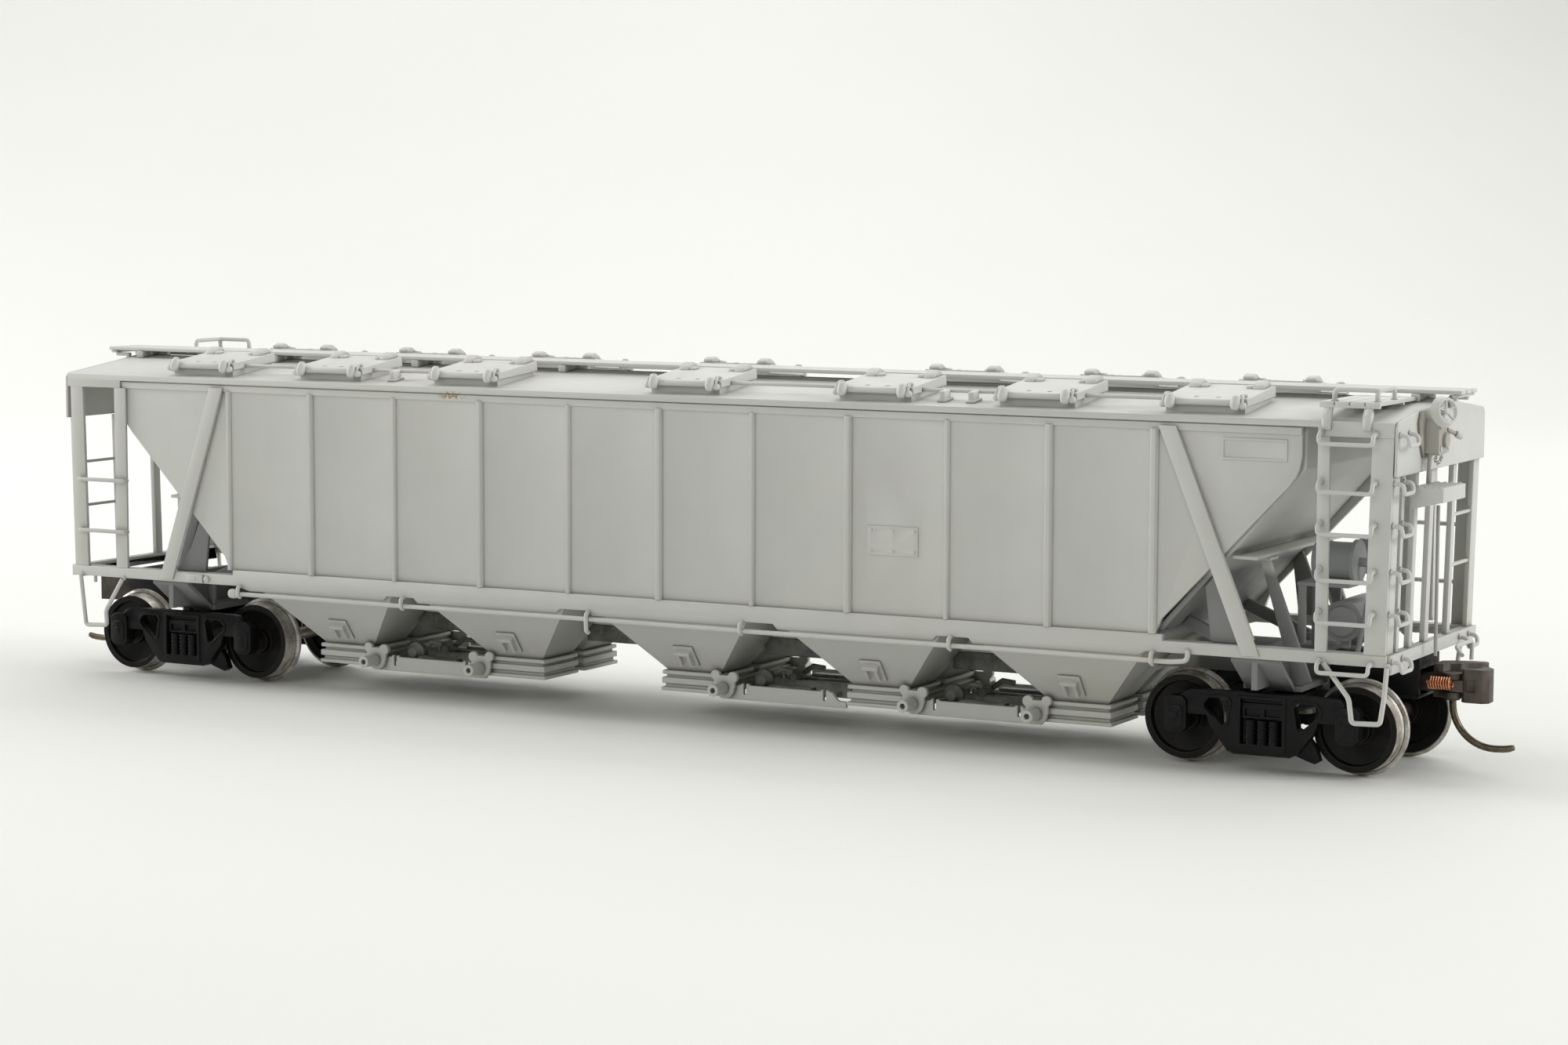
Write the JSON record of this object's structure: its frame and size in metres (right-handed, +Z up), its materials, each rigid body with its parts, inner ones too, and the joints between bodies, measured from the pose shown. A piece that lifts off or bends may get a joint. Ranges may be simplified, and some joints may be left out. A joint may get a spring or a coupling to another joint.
{
  "type": "model covered hopper car",
  "caption": "Scale model covered hopper freight car with swivelling trucks, turning wheelsets, knuckle couplers, roof hatches and sloped discharge bays.",
  "frame": {"origin": "middle of the car in plan, on the plane touching the bottoms of the wheel flanges", "axes": "+X along the car towards its brake-wheel end, +Y across the car, +Z up"},
  "size_m": [0.1978, 0.0338, 0.0432],
  "materials": {
    "body_paint": "satin light warm grey paint with slight weathering",
    "roof_paint": "satin off-white paint",
    "shaded_paint": "satin light grey paint",
    "truck_plastic": "black, slightly glossy moulded plastic",
    "pocket_plastic": "black moulded plastic",
    "wheel_metal": "blackened metal with a worn bright tread",
    "axle_steel": "turned steel",
    "coupler_metal": "rough dark brown cast metal",
    "pin_steel": "darkened drawn steel wire",
    "spring_bronze": "bright copper-coloured wire"
  },
  "bodies": {
    "car_body": {"side_wall_right": "body_paint", "side_wall_left": "body_paint", "side_sills": "body_paint", "end_plates": "body_paint", "corner_posts": "body_paint", "diagonal_posts": "body_paint", "end_posts": "body_paint", "end_sills": "body_paint", "centre_sill": "shaded_paint", "body_bolsters": "shaded_paint", "slope_sheets": "shaded_paint", "end_framing": "shaded_paint", "hopper_bays": "shaded_paint", "outlet_frames": "body_paint", "outlet_gates": "body_paint", "gate_rails": "body_paint", "gate_shafts": "body_paint", "shaft_brackets": "body_paint", "bay_brackets": "body_paint", "roof": "roof_paint", "hatch_covers": "roof_paint", "hatch_fittings": "roof_paint", "hatch_rods": "roof_paint", "running_board": "roof_paint", "board_saddles": "roof_paint", "lateral_boards": "roof_paint", "grab_irons": "body_paint", "stirrups": "body_paint", "train_pipe": "body_paint", "pipe_hangers": "body_paint", "uncoupling_levers": "body_paint", "brake_wheel": "body_paint", "brake_gear_box": "body_paint", "brake_platform": "body_paint", "brake_cylinder": "body_paint", "air_reservoir": "body_paint", "control_valve": "body_paint", "draft_boxes": "pocket_plastic", "draft_lids": "pocket_plastic", "truck_screws": "axle_steel"},
    "truck_a": {"truck_sides_a": "truck_plastic", "truck_bolster_a": "truck_plastic"},
    "truck_b": {"truck_sides_b": "truck_plastic", "truck_bolster_b": "truck_plastic"},
    "wheelset_a1": {"axle_a1": "axle_steel", "wheels_a1": "wheel_metal"},
    "wheelset_a2": {"axle_a2": "axle_steel", "wheels_a2": "wheel_metal"},
    "wheelset_b1": {"axle_b1": "axle_steel", "wheels_b1": "wheel_metal"},
    "wheelset_b2": {"axle_b2": "axle_steel", "wheels_b2": "wheel_metal"},
    "coupler_a": {"coupler_a": "coupler_metal", "trip_pin_a": "pin_steel", "knuckle_spring_a": "spring_bronze"},
    "coupler_b": {"coupler_b": "coupler_metal", "trip_pin_b": "pin_steel", "knuckle_spring_b": "spring_bronze"},
    "knuckle_a": {"knuckle_a": "coupler_metal"},
    "knuckle_b": {"knuckle_b": "coupler_metal"}
  },
  "joints": [
    {"name": "truck_a_swivel", "type": "hinge", "parent": "car_body", "child": "truck_a", "pos_m": [-0.07425, 0, 0.0086], "axis": [0, 0, 1], "range_deg": [-7, 7]},
    {"name": "axle_a1_spin", "type": "hinge", "parent": "truck_a", "child": "wheelset_a1", "pos_m": [-0.08425, 0, 0.00545], "axis": [0, 1, 0], "continuous": true},
    {"name": "axle_a2_spin", "type": "hinge", "parent": "truck_a", "child": "wheelset_a2", "pos_m": [-0.06425, 0, 0.00545], "axis": [0, 1, 0], "continuous": true},
    {"name": "coupler_a_swing", "type": "hinge", "parent": "car_body", "child": "coupler_a", "pos_m": [-0.0832, 0, 0.00995], "axis": [0, 0, 1], "range_deg": [-9, 9]},
    {"name": "knuckle_a_open", "type": "hinge", "parent": "coupler_a", "child": "knuckle_a", "pos_m": [-0.0926, 0.0017, 0.00995], "axis": [0, 0, -1], "range_deg": [0, 18]},
    {"name": "truck_b_swivel", "type": "hinge", "parent": "car_body", "child": "truck_b", "pos_m": [0.07425, 0, 0.0086], "axis": [0, 0, 1], "range_deg": [-7, 7]},
    {"name": "axle_b1_spin", "type": "hinge", "parent": "truck_b", "child": "wheelset_b1", "pos_m": [0.08425, 0, 0.00545], "axis": [0, 1, 0], "continuous": true},
    {"name": "axle_b2_spin", "type": "hinge", "parent": "truck_b", "child": "wheelset_b2", "pos_m": [0.06425, 0, 0.00545], "axis": [0, 1, 0], "continuous": true},
    {"name": "coupler_b_swing", "type": "hinge", "parent": "car_body", "child": "coupler_b", "pos_m": [0.0832, 0, 0.00995], "axis": [0, 0, 1], "range_deg": [-9, 9]},
    {"name": "knuckle_b_open", "type": "hinge", "parent": "coupler_b", "child": "knuckle_b", "pos_m": [0.0926, -0.0017, 0.00995], "axis": [0, 0, -1], "range_deg": [0, 18]}
  ]
}
